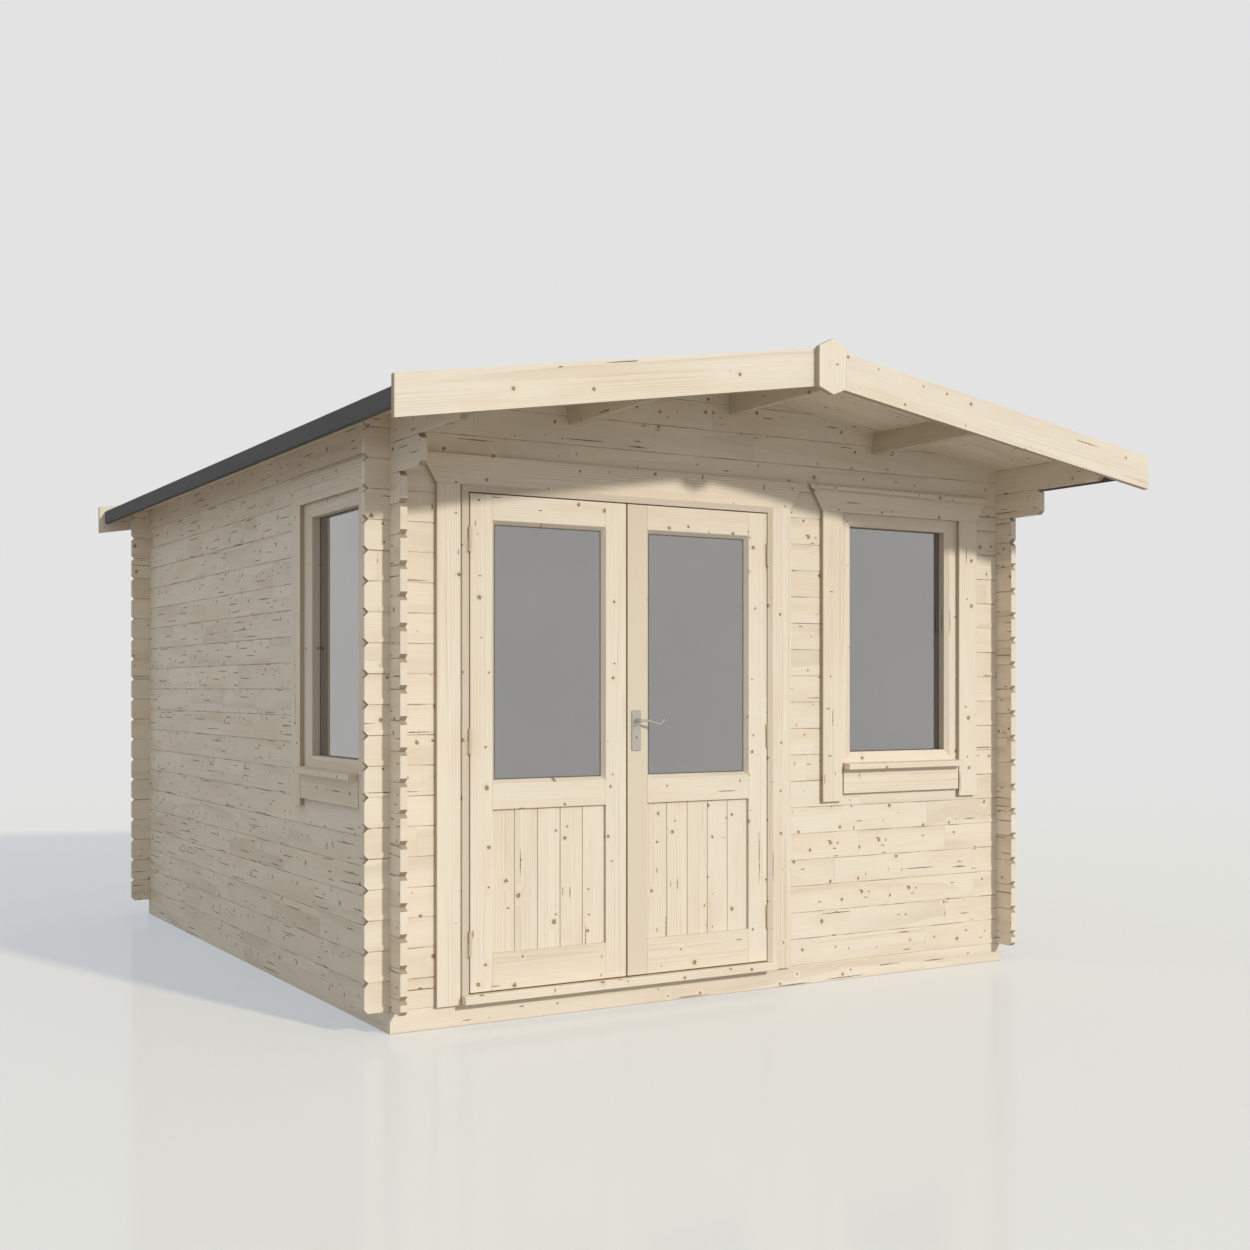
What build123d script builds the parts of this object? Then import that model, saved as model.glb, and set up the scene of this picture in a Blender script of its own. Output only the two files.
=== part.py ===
from build123d import *
import math
import os

# Log cabin with double doors, one window in the front wall and one in the left wall.
# Millimetres, +Z up. X runs along the front wall, Y from front to back.
# The origin is on the ground, in the middle of the roof's outline.

# Logs
log_t = 28.0
log_h = 114.0
base_h = 84.0
edge_bevel = 3.0
end_bevel = 16.0
stub = 100.0
notch_play = 0.3

# Cabin body, measured over the outer faces of the walls
cabin_w = 3076.0
cabin_d = 3610.0
second_corbel = 280.0

# Roof
roof_slope = 0.1584
front_overhang = 630.0
rear_overhang = 100.0
roof_board_t = 22.0
felt_t = 4.0
eave_reach = 218.0
fascia_t = 18.0
fascia_drop = 47.0
purlin_t = 28.0
purlin_h = 94.0
ridge_purlin_h = 108.0
purlin_offset = 784.0
purlin_play = 0.3

# Bargeboards and the finial boards over their peaks
barge_t = 27.0
barge_h = 147.0
barge_rise = 52.5
barge_reach = 252.0
barge_joint = 1.0
finial_t = 27.0
finial_w = 134.0
finial_rise = 29.0
finial_body_h = 156.0
finial_top_point = 34.0
finial_bottom_point = 26.0

# Floor
floor_board_t = 19.0
floor_play = 2.0
bearer_w = 45.0
bearer_count = 8

# Boards that cover the joints round the door and the windows
trim_t = 20.0
header_h = 114.0
header_slant = 72.0
courses_over_header = 1
casing_w = 60.0
casing_t = 17.0
cut_play = 3.0

# Door leaves
door_x = -531.0
leaf_w = 689.0
leaf_t = 42.0
leaf_proud = 27.0
leaf_h = 1900.0
leaf_gap = 5.0
threshold_gap = 6.0
meeting_gap = 7.0
stile_w = 94.0
top_rail_h = 99.0
mid_rail_h = 100.0
panel_h = 550.0
bottom_rail_h = 143.0
bead_w = 14.0
bead_face = 4.0
glass_t = 4.0
panel_t = 15.0
panel_recess = 13.0
panel_tongue = 9.0

# Door frame
jamb_w = 28.0
jamb_depth = 72.0
stop_w = 15.0
stop_joint = 1.0
head_h = 26.0
door_trim_w = 98.0
door_trim_gap = 3.0
sill_nose = 60.0
sill_drip = 6.0
sill_h = 37.0
sill_bevel_y = 12.0
sill_bevel_z = 6.0

# Door hinges
hinge_r = 6.5
hinge_h = 96.0
hinge_face_gap = 1.0
hinge_split = 0.4
hinge_pin_r = 3.5
hinge_pin_play = 0.1
hinge_pin_h = 38.0
hinge_flag_w = 11.0
hinge_flag_t = 2.5
hinge_from_foot = 187.0
hinge_from_head = 175.0

# Door handle
plate_w = 42.0
plate_h = 162.0
plate_corner_r = 4.0
plate_t = 6.0
plate_edge = 1.5
plate_up = 988.0
plate_shift = 8.0
lever_up = 39.0
spindle_r = 4.0
spindle_play = 0.1
spindle_bore_play = 2.0
neck_r = 8.0
neck_h = 42.0
neck_play = 0.3
lever_r = 4.5
lever_rise = 1.0
lever_rise_x = 34.0
lever_dip = 11.0
lever_dip_x = 79.0
scroll_r = 21.0
scroll_turn = 92.0
keyhole_r = 3.5
keyhole_slot_w = 3.0
keyhole_slot_h = 9.0
keyhole_drop = 66.0

# Windows, both the same, stated from the daylight opening outwards
daylight_w = 553.0
daylight_h = 1000.0
frame_flat = 45.0
frame_bevel_w = 20.0
frame_bevel_d = 12.0
frame_lap = 8.0
frame_depth = 70.0
frame_glass_d = 47.0
glass_slot = 8.0
glass_play = 1.0
window_trim_w = 108.0
window_trim_tail = 33.0
window_head_show = 55.0
window_foot_show = 46.0
window_sill_play = 7.0
window_sill_reach = 60.0
window_sill_h = 28.0
window_sill_fall = 3.0
apron_h = 107.0
apron_play = 5.5
front_window_x = 919.0
side_window_from_front = 610.0

# Heights, worked up from the base course
sill_top_z = base_h + sill_h
leaf_bottom_z = sill_top_z + threshold_gap
leaf_top_z = leaf_bottom_z + leaf_h
panel_z0 = leaf_bottom_z + bottom_rail_h
mid_rail_z = panel_z0 + panel_h
glass_z0 = mid_rail_z + mid_rail_h
glass_z1 = leaf_top_z - top_rail_h
plate_z = leaf_bottom_z + plate_up
lever_z = plate_z + lever_up
head_z = leaf_top_z + leaf_gap
header_z = head_z + head_h
header_top_z = header_z + header_h
daylight_z = header_z - window_head_show - daylight_h
window_sill_z = daylight_z - window_foot_show - window_sill_h
window_trim_z = window_sill_z - apron_h - window_trim_tail
first_side_z = base_h + log_h / 2
side_courses = math.ceil((header_top_z - first_side_z) / log_h) + courses_over_header
wall_top_z = first_side_z + side_courses * log_h

# Places in plan, and the roof
half_w = cabin_w / 2
inner_half_w = half_w - log_t
roof_length = front_overhang + cabin_d + rear_overhang
front_y = -roof_length / 2 + front_overhang
rear_y = front_y + cabin_d
inner_front_y = front_y + log_t
inner_rear_y = rear_y - log_t
roof_front_y = front_y - front_overhang
roof_rear_y = rear_y + rear_overhang
ridge_z = wall_top_z + inner_half_w * roof_slope
notch_h = log_h / 4
gable_courses = int((ridge_z - base_h) // log_h) + 1
eave_x = half_w + eave_reach


def roof_z(x, lift=0.0):
    """Height of the underside of the roof boards at x, raised by lift."""
    return ridge_z + lift - abs(x) * roof_slope


def box(x0, x1, y0, y1, z0, z1):
    """A box between two corners."""
    return Pos((x0 + x1) / 2, (y0 + y1) / 2, (z0 + z1) / 2) * Box(x1 - x0, y1 - y0, z1 - z0)


def prism_y(points, y0, y1):
    """A prism along Y whose outline is given as (x, z) points."""
    return Pos(0, y0, 0) * extrude(Plane.XZ * Polygon(*points, align=None), amount=y1 - y0, dir=(0, 1, 0))


def prism_x(points, x0, x1):
    """A prism along X whose outline is given as (y, z) points."""
    return Pos(x0, 0, 0) * extrude(Plane.YZ * Polygon(*points, align=None), amount=x1 - x0, dir=(1, 0, 0))


def save(name, *shapes):
    """Write one named piece. Like solids that don't touch share a file."""
    solids = [solid for shape in shapes for solid in shape.solids()]
    export_step(Compound(children=solids), os.path.join("parts", name + ".step"))


def bevelled_section(t0, t1, z0, z1):
    """The section of a log, with small bevels on its four long edges."""
    b = edge_bevel
    return [(t0 + b, z0), (t1 - b, z0), (t1, z0 + b), (t1, z1 - b),
            (t1 - b, z1), (t0 + b, z1), (t0, z1 - b), (t0, z0 + b)]


def log_outline(s0, s1, z0, z1, crossings=(), top_notch=False, bottom_notch=False):
    """A log seen from the side: bevelled ends, and notches where other logs cross it."""
    half = (log_t + notch_play) / 2
    bottom = [(s0, z0 + end_bevel), (s0 + end_bevel, z0)]
    top = [(s0 + end_bevel, z1), (s0, z1 - end_bevel)]
    for s in crossings:
        if bottom_notch:
            bottom += [(s - half, z0), (s - half, z0 + notch_h), (s + half, z0 + notch_h), (s + half, z0)]
        if top_notch:
            top = [(s + half, z1), (s + half, z1 - notch_h), (s - half, z1 - notch_h), (s - half, z1)] + top
    bottom += [(s1 - end_bevel, z0), (s1, z0 + end_bevel)]
    return bottom + [(s1, z1 - end_bevel), (s1 - end_bevel, z1)] + top


def purlin_bars(play):
    """The ridge purlin, and the two side purlins square to the roof's slope."""
    tilt = Vector(1, 0, 0).get_angle(Vector(1, 0, roof_slope))
    half = purlin_t / 2 + play
    ridge_top = roof_z(purlin_t / 2)
    bars = [box(-half, half, roof_front_y, roof_rear_y, ridge_top - ridge_purlin_h - play, ridge_top)]
    for side in (-1, 1):
        bar = box(-half, half, roof_front_y, roof_rear_y, -purlin_h - play, 0)
        bars.append(Pos(side * purlin_offset, 0, roof_z(purlin_offset)) * Rot(0, side * tilt, 0) * bar)
    return bars


def cross_log(k, y0, y1):
    """Course k of the front or rear wall, before any opening is cut."""
    z0 = base_h + k * log_h
    z1 = z0 + log_h
    reach = half_w + stub
    corners = (-half_w + log_t / 2, half_w - log_t / 2)
    if z0 > roof_z(half_w):
        outline = log_outline(-reach, reach, z0, z1)
    else:
        outline = log_outline(-reach, reach, z0, z1, corners, z1 < roof_z(half_w), True)
    log = prism_y(outline, y0, y1) & prism_x(bevelled_section(y0, y1, z0, z1), -reach, reach)
    if z1 > roof_z(reach):
        under_roof = [(-reach, 0), (reach, 0), (reach, roof_z(reach)), (0, ridge_z), (-reach, roof_z(reach))]
        log = log & prism_y(under_roof, y0, y1)
        for bar in purlin_bars(purlin_play):
            log = log - bar
    return log


def side_log(k, x0, x1):
    """Course k of a side wall. Course 0 is the half log on the base."""
    z1 = first_side_z + k * log_h
    z0 = max(base_h, z1 - log_h)
    front_end = front_y - stub
    if k == side_courses - 1:
        front_end = front_y - second_corbel
    if k == side_courses:
        front_end = roof_front_y
    rear_end = rear_y + stub
    corners = (front_y + log_t / 2, rear_y - log_t / 2)
    outline = log_outline(front_end, rear_end, z0, z1, corners, True, k > 0)
    log = prism_x(outline, x0, x1) & prism_y(bevelled_section(x0, x1, z0, z1), front_end, rear_end)
    under_roof = [(x0, 0), (x1, 0), (x1, roof_z(x1)), (x0, roof_z(x0))]
    return log & prism_y(under_roof, front_end, rear_end)


# Door and window openings in the log walls
door_inner_half = leaf_w + meeting_gap / 2 + leaf_gap
door_outer_half = door_inner_half + jamb_w
door_cut_half = door_outer_half + cut_play
door_front_y = front_y - leaf_proud
door_cut = box(door_x - door_cut_half, door_x + door_cut_half, front_y - stub, front_y + stub,
               base_h, header_z + cut_play)

frame_band = frame_flat + frame_bevel_w + frame_lap
frame_half = daylight_w / 2 + frame_band
frame_z0 = daylight_z - frame_band
frame_z1 = daylight_z + daylight_h + frame_band
window_cut_half = frame_half + cut_play
window_cut = box(-window_cut_half, window_cut_half, -stub, stub, frame_z0, frame_z1 + cut_play)
in_front_wall = Pos(front_window_x, front_y, 0)
in_left_wall = Pos(-half_w, front_y + side_window_from_front, 0) * Rot(0, 0, -90)


def save_wall(name, logs):
    """Save every second log of a wall in one file, so that no two in a file touch."""
    save(name + "_even_logs", *logs[0::2])
    save(name + "_odd_logs", *logs[1::2])


def make_walls():
    """Base course and log courses, notched over each other at the corners."""
    front_base = prism_x(bevelled_section(front_y, inner_front_y, 0, base_h), -half_w, half_w)
    rear_base = prism_x(bevelled_section(inner_rear_y, rear_y, 0, base_h), -half_w, half_w)
    left_base = prism_y(bevelled_section(-half_w, -inner_half_w, 0, base_h), inner_front_y, inner_rear_y)
    right_base = prism_y(bevelled_section(inner_half_w, half_w, 0, base_h), inner_front_y, inner_rear_y)
    save("front_rear_base_logs", front_base, rear_base)
    save("side_base_logs", left_base, right_base)
    front_logs = [cross_log(k, front_y, inner_front_y) for k in range(gable_courses)]
    rear_logs = [cross_log(k, inner_rear_y, rear_y) for k in range(gable_courses)]
    left_logs = [side_log(k, -half_w, -inner_half_w) for k in range(side_courses + 1)]
    right_logs = [side_log(k, inner_half_w, half_w) for k in range(side_courses + 1)]
    save_wall("front_wall", [log - door_cut - in_front_wall * window_cut for log in front_logs])
    save_wall("rear_wall", rear_logs)
    save_wall("left_wall", [log - in_left_wall * window_cut for log in left_logs])
    save_wall("right_wall", right_logs)


def make_floor():
    """Floor boards level with the top of the base course, on bearers along the cabin."""
    x = inner_half_w - floor_play
    y0 = inner_front_y + floor_play
    y1 = inner_rear_y - floor_play
    under_z = base_h - floor_board_t
    save("floor_boards", box(-x, x, y0, y1, under_z, base_h))
    run = x - bearer_w / 2
    centers = [-run + 2 * run * i / (bearer_count - 1) for i in range(bearer_count)]
    save("floor_bearers", *[box(c - bearer_w / 2, c + bearer_w / 2, y0, y1, 0, under_z) for c in centers])


def make_roof():
    """Purlins, roof boards, felt turned down over the eaves, and eave fascias."""
    save("purlins", *purlin_bars(0))
    board_top = roof_board_t
    cover_top = roof_board_t + felt_t
    eave_z = roof_z(eave_x)
    drip_z = eave_z - fascia_drop
    felt_x = eave_x + felt_t
    half_felt = []
    fascias = []
    for side, label in ((-1, "left"), (1, "right")):
        boards = [(0, ridge_z), (eave_x, eave_z), (eave_x, eave_z + board_top), (0, ridge_z + board_top)]
        felt = [(0, ridge_z + board_top), (eave_x, eave_z + board_top), (eave_x, drip_z), (felt_x, drip_z),
                (felt_x, roof_z(felt_x, cover_top)), (0, ridge_z + cover_top)]
        inner_x = eave_x - fascia_t
        fascia = [(inner_x, drip_z), (eave_x, drip_z), (eave_x, eave_z), (inner_x, roof_z(inner_x))]
        save("roof_boards_" + label, prism_y([(side * x, z) for x, z in boards], roof_front_y, roof_rear_y))
        half_felt.append(prism_y([(side * x, z) for x, z in felt], roof_front_y, roof_rear_y))
        fascias.append(prism_y([(side * x, z) for x, z in fascia], roof_front_y, roof_rear_y))
    save("roof_felt", half_felt[0] + half_felt[1])
    save("eave_fascias", *fascias)


def make_bargeboards():
    """Bargeboards that meet at the ridge, front and rear, and the finials over their joints."""
    end_x = half_w + barge_reach
    boards = []
    finials = []
    peak_z = roof_z(0, barge_rise) + finial_rise
    shoulder_z = peak_z - finial_top_point
    foot_z = shoulder_z - finial_body_h
    half = finial_w / 2
    finial = [(0, peak_z), (-half, shoulder_z), (-half, foot_z), (0, foot_z - finial_bottom_point),
              (half, foot_z), (half, shoulder_z)]
    for board_y, finial_y in ((roof_front_y - barge_t, roof_front_y - barge_t - finial_t),
                              (roof_rear_y, roof_rear_y + barge_t)):
        for side in (-1, 1):
            outline = []
            for x, lift in ((barge_joint / 2, barge_rise), (end_x, barge_rise),
                            (end_x, barge_rise - barge_h), (barge_joint / 2, barge_rise - barge_h)):
                outline.append((side * x, roof_z(x, lift)))
            boards.append(prism_y(outline, board_y, board_y + barge_t))
        finials.append(prism_y(finial, finial_y, finial_y + finial_t))
    save("bargeboards", *boards)
    save("finials", *finials)


def make_door_frame():
    """Jambs, head and stops, the sill, and the boards that cover the joints."""
    back_y = door_front_y + jamb_depth
    stop_y = door_front_y + leaf_t + leaf_gap
    stop_z = head_z - stop_w
    jambs = []
    stops = [box(door_x - door_inner_half, door_x + door_inner_half, stop_y, back_y, stop_z, head_z)]
    trims = []
    for side in (-1, 1):
        spans = []
        trim_in = door_outer_half + door_trim_gap
        for near, far in ((door_inner_half, door_outer_half), (door_inner_half - stop_w, door_inner_half),
                          (trim_in, trim_in + door_trim_w)):
            spans.append(sorted((door_x + side * near, door_x + side * far)))
        jambs.append(box(*spans[0], door_front_y, back_y, sill_top_z, head_z))
        stops.append(box(*spans[1], stop_y, back_y, sill_top_z, stop_z - stop_joint))
        trims.append(box(*spans[2], front_y - trim_t, front_y, base_h, header_z))
    save("door_jambs", *jambs)
    save("door_stops", *stops)
    save("door_trims", *trims)
    save("door_head", box(door_x - door_outer_half, door_x + door_outer_half, door_front_y, back_y,
                          head_z, header_z))
    nose_y = front_y - sill_nose
    drip_z = base_h + sill_drip
    sill = [(nose_y, drip_z), (front_y, drip_z), (front_y, base_h), (back_y, base_h),
            (back_y, sill_top_z), (nose_y + sill_bevel_y, sill_top_z), (nose_y, sill_top_z - sill_bevel_z)]
    save("door_sill", prism_x(sill, door_x - door_outer_half, door_x + door_outer_half))
    save("door_header", header(door_outer_half + door_trim_gap + door_trim_w, Pos(door_x, front_y, 0)))
    inside = box(-door_outer_half, door_outer_half, -casing_t, log_t + casing_t, 0, header_z)
    edge = door_outer_half + casing_w
    casing = box(-edge, edge, log_t, log_t + casing_t, base_h, header_z + casing_w) - inside
    save("door_casing", Pos(door_x, front_y, 0) * casing)


def header(half, place):
    """The board over a door or window, wider at its top."""
    top_half = half + header_slant
    outline = [(-half, header_z), (half, header_z), (top_half, header_z + header_h),
               (-top_half, header_z + header_h)]
    return place * prism_y(outline, -trim_t, 0)


def bead_ring(w, h, depth, face):
    """Glazing bead round a pane, facing -Y, with a 45 degree bevel that leaves a flat of depth face."""
    outer = Box(w, depth, h)
    hole = Box(w - 2 * bead_w, depth, h - 2 * bead_w)
    bevel_d = depth - face
    near = Pos(0, -depth / 2, 0) * (Plane.XZ * Rectangle(w, h))
    far = Pos(0, -depth / 2 + bevel_d, 0) * (Plane.XZ * Rectangle(w - 2 * bead_w, h - 2 * bead_w))
    return outer - hole - loft([near.face(), far.face()])


# Door leaves, from their hinge edge
hinge_y = door_front_y - hinge_face_gap - hinge_r
handle_x = door_x + meeting_gap / 2 + stile_w / 2 - plate_shift


def make_leaf(side, label):
    """One leaf: stiles, rails, glass between beads over a boarded panel."""
    outer_x = side * (door_inner_half - leaf_gap) + door_x
    inner_x = side * meeting_gap / 2 + door_x
    x0 = min(outer_x, inner_x)
    x1 = max(outer_x, inner_x)
    y0 = door_front_y
    y1 = y0 + leaf_t
    groove = box(x0 + stile_w - panel_tongue, x1 - stile_w + panel_tongue, y0 + panel_recess,
                 y0 + panel_recess + panel_t, panel_z0 - panel_tongue, mid_rail_z + panel_tongue)
    stiles = [box(x0, x0 + stile_w, y0, y1, leaf_bottom_z, leaf_top_z),
              box(x1 - stile_w, x1, y0, y1, leaf_bottom_z, leaf_top_z)]
    rails = [box(x0 + stile_w, x1 - stile_w, y0, y1, z0, z1)
             for z0, z1 in ((leaf_bottom_z, panel_z0), (mid_rail_z, glass_z0), (glass_z1, leaf_top_z))]
    stiles = [stile - groove for stile in stiles]
    if side > 0:
        bore = Cylinder(spindle_r + spindle_bore_play, leaf_t, rotation=(90, 0, 0))
        keyway = Cylinder(keyhole_r, leaf_t, rotation=(90, 0, 0))
        y = (y0 + y1) / 2
        stiles = [stile - Pos(handle_x, y, lever_z) * bore - Pos(handle_x, y, lever_z - keyhole_drop) * keyway
                  for stile in stiles]
    save(label + "_door_stiles", *stiles)
    save(label + "_door_rails", *[rail - groove for rail in rails])
    save(label + "_door_panel", groove)
    pane_w = x1 - x0 - 2 * stile_w
    pane_h = glass_z1 - glass_z0
    middle = ((x0 + x1) / 2, (glass_z0 + glass_z1) / 2)
    bead_depth = (leaf_t - glass_t) / 2
    front_bead = bead_ring(pane_w, pane_h, bead_depth, bead_face)
    glass_y = y0 + leaf_t / 2
    save(label + "_door_glass", Pos(middle[0], glass_y, middle[1]) * Box(pane_w, glass_t, pane_h))
    save(label + "_door_beads",
         Pos(middle[0], y0 + bead_depth / 2, middle[1]) * front_bead,
         Pos(middle[0], y1 - bead_depth / 2, middle[1]) * Rot(0, 0, 180) * front_bead)


def make_hinges():
    """Lower barrel halves with their pins on the frame, upper halves with bores on the leaves."""
    half_h = (hinge_h - hinge_split) / 2
    low_z = leaf_bottom_z + hinge_from_foot
    high_z = leaf_top_z - hinge_from_head
    fixed = []
    for side, label in ((-1, "left"), (1, "right")):
        x = door_x + side * (door_inner_half - leaf_gap / 2)
        moving = []
        for z in (low_z, (low_z + high_z) / 2, high_z):
            z0 = z - hinge_h / 2
            z1 = z + hinge_split / 2
            flag_y0 = door_front_y - hinge_flag_t
            barrel = Pos(x, hinge_y, z0 + half_h / 2) * Cylinder(hinge_r, half_h)
            pin = Pos(x, hinge_y, z0 + (half_h + hinge_pin_h) / 2) * Cylinder(hinge_pin_r, half_h + hinge_pin_h)
            flag_x = (x, x + side * hinge_flag_w)
            flag = box(min(flag_x), max(flag_x), flag_y0, door_front_y, z0, z0 + half_h)
            fixed.append(barrel + pin + flag)
            cap = Pos(x, hinge_y, z1 + half_h / 2) * Cylinder(hinge_r, half_h)
            flag_x = (x, x - side * hinge_flag_w)
            flag = box(min(flag_x), max(flag_x), flag_y0, door_front_y, z1, z1 + half_h)
            bore_h = hinge_pin_h + hinge_split
            bore = Pos(x, hinge_y, z1 + bore_h / 2) * Cylinder(hinge_pin_r + hinge_pin_play, bore_h)
            moving.append(cap + flag - bore)
        save(label + "_door_hinge_halves", *moving)
    save("frame_hinge_halves", *fixed)


def plate():
    """Long handle plate, its back at y = 0 and its face towards -Y, with rounded corners."""
    outline = Plane.XZ * RectangleRounded(plate_w, plate_h, plate_corner_r)
    body = chamfer(extrude(outline, amount=plate_t).faces().sort_by(Axis.Y)[0].edges(), plate_edge)
    spindle_hole = Cylinder(spindle_r + spindle_play, 4 * plate_t, rotation=(90, 0, 0))
    key_hole = Cylinder(keyhole_r, 4 * plate_t, rotation=(90, 0, 0))
    key_slot = Pos(0, 0, -keyhole_slot_h / 2) * Box(keyhole_slot_w, 4 * plate_t, keyhole_slot_h)
    return body - Pos(0, 0, lever_up) * spindle_hole - Pos(0, 0, lever_up - keyhole_drop) * (key_hole + key_slot)


def outer_lever():
    """Neck and scrolled lever, drawn with X along the leaf, Y upwards and Z away from it."""
    arm_z = neck_play + neck_h - lever_r
    neck = Pos(0, 0, neck_play + neck_h / 2) * Cylinder(neck_r, neck_h)
    arm = FilletPolyline((0, 0), (lever_rise_x, lever_rise), (lever_dip_x, -lever_dip), radius=lever_dip_x)
    scroll = JernArc(arm @ 1, arm % 1, scroll_r, scroll_turn)
    path = arm + scroll
    section = Plane(origin=path @ 0, z_dir=path % 0) * Circle(lever_r)
    bar = sweep(section, path=path)
    tip = Pos(*(scroll @ 1)) * Sphere(lever_r)
    return neck + Pos(0, 0, arm_z) * (bar + tip)


def make_handle():
    """Plates and levers on both faces of the right leaf, on one spindle through its stile."""
    middle_y = door_front_y + leaf_t / 2
    mid_plane = Plane.XZ.offset(-middle_y)
    outer_plate = Pos(handle_x, door_front_y, plate_z) * plate()
    save("handle_plates", outer_plate, mirror(outer_plate, about=mid_plane))
    face = Plane(origin=(handle_x, door_front_y - plate_t, lever_z), x_dir=(1, 0, 0), z_dir=(0, -1, 0))
    outer = face * outer_lever()
    spindle_h = leaf_t + 2 * (plate_t + neck_play + neck_h / 2)
    spindle = Pos(handle_x, middle_y, lever_z) * Cylinder(spindle_r, spindle_h, rotation=(90, 0, 0))
    save("handle_lever", outer + spindle + mirror(outer, about=mid_plane))


def window_frame():
    """Frame with a bevel round its daylight opening and a groove for the pane. Its face is at y = 0."""
    mid_z = daylight_z + daylight_h / 2
    side = 2 * frame_band
    w = daylight_w
    h = daylight_h
    bevel = 2 * frame_bevel_w
    body = Pos(0, frame_depth / 2, mid_z) * (Box(w + side, frame_depth, h + side) - Box(w, frame_depth, h))
    near = Pos(0, 0, mid_z) * (Plane.XZ * Rectangle(w + bevel, h + bevel))
    far = Pos(0, frame_bevel_d, mid_z) * (Plane.XZ * Rectangle(w, h))
    groove = Pos(0, frame_glass_d + glass_t / 2, mid_z) * Box(w + 2 * glass_slot, glass_t, h + 2 * glass_slot)
    return body - loft([near.face(), far.face()]) - groove


def make_windows():
    """Frame, pane, trims, header, sill and apron of each window, and the casing inside."""
    trim_in = daylight_w / 2 + frame_bevel_w + frame_flat
    trim_out = trim_in + window_trim_w
    mid_z = daylight_z + daylight_h / 2
    slot = 2 * (glass_slot - glass_play)
    pane = Pos(0, frame_glass_d + glass_t / 2, mid_z) * Box(daylight_w + slot, glass_t, daylight_h + slot)
    sill_half = trim_in - window_sill_play
    sill_top = window_sill_z + window_sill_h
    sill = [(0, window_sill_z), (-window_sill_reach, window_sill_z),
            (-window_sill_reach, sill_top - window_sill_fall), (0, sill_top)]
    apron_half = trim_in - apron_play
    edge = frame_half + casing_w
    inside = box(-frame_half, frame_half, 0, frame_depth, frame_z0, frame_z1)
    pieces = {
        "window_frames": [window_frame()],
        "window_panes": [pane],
        "window_trims": [box(-trim_out, -trim_in, -trim_t, 0, window_trim_z, header_z),
                         box(trim_in, trim_out, -trim_t, 0, window_trim_z, header_z)],
        "window_headers": [header(trim_out, Pos(0, 0, 0))],
        "window_sills": [prism_x(sill, -sill_half, sill_half)],
        "window_aprons": [box(-apron_half, apron_half, -trim_t, 0, window_sill_z - apron_h, window_sill_z)],
        "window_casings": [box(-edge, edge, log_t, log_t + casing_t, frame_z0 - casing_w,
                               frame_z1 + casing_w) - inside],
    }
    for name, shapes in pieces.items():
        save(name, *[place * shape for place in (in_front_wall, in_left_wall) for shape in shapes])


os.makedirs("parts", exist_ok=True)
make_walls()
make_floor()
make_roof()
make_bargeboards()
make_door_frame()
make_leaf(-1, "left")
make_leaf(1, "right")
make_hinges()
make_handle()
make_windows()
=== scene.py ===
import math
import random

import bpy
from mathutils import Matrix, Vector


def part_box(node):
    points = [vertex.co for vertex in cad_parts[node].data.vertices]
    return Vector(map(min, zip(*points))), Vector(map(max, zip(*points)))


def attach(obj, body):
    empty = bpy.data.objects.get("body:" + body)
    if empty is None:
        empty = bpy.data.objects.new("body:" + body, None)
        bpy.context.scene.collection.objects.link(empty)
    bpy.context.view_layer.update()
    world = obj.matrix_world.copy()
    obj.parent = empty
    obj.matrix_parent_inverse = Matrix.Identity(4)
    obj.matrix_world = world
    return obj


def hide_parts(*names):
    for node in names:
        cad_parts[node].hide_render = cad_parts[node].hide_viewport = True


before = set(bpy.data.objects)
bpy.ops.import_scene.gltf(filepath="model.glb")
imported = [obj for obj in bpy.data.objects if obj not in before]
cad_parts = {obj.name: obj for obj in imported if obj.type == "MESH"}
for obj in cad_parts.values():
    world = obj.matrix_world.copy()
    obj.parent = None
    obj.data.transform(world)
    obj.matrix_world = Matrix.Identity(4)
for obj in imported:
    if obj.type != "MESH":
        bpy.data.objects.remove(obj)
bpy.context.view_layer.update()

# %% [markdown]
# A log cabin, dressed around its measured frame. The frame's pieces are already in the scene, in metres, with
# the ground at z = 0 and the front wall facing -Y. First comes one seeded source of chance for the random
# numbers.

chance = random.Random(28)

# %% [markdown]
# The camera stands left of the cabin at a little under eye height. It is level, so upright edges stay upright
# in the picture. Tilting it would make them lean, so a small lens shift moves the picture up instead.

# %% Camera
camera_place = (-3.7282, -6.9265, 1.2846)
camera_heading = 30.748
camera_lens = 44.66
horizon_shift = 0.0507

bpy.ops.object.camera_add(location=camera_place,
                          rotation=(math.radians(90), 0, -math.radians(camera_heading)))
camera = bpy.context.object
camera.name = "camera"
camera.data.lens = camera_lens
camera.data.shift_y = horizon_shift
camera.data.clip_end = 200
bpy.context.scene.camera = camera
print("camera at", camera_place, "heading", camera_heading, "degrees from the front wall's square")

# %% [markdown]
# A material is a small network of nodes. Short helpers keep the networks readable: they add a node and feed
# it, do a sum on numbers or on vectors, ease a value, mix colours, and start a material or a group. A feed is
# either a plain value or another node's output.

# %% Helpers for materials
def feed(tree, node, feeds):
    """Give a node's sockets plain values or the outputs of other nodes."""
    for socket, value in feeds.items():
        if isinstance(value, bpy.types.NodeSocket):
            tree.links.new(value, node.inputs[socket])
        else:
            node.inputs[socket].default_value = value


def add_node(tree, kind, feeds=None, **options):
    """Add a shader node, set its options and feed its sockets."""
    node = tree.nodes.new("ShaderNode" + kind)
    for option, choice in options.items():
        setattr(node, option, choice)
    feed(tree, node, feeds or {})
    return node


def calc(tree, operation, *feeds):
    """The output of one Math node."""
    return add_node(tree, "Math", dict(enumerate(feeds)), operation=operation).outputs[0]


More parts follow.
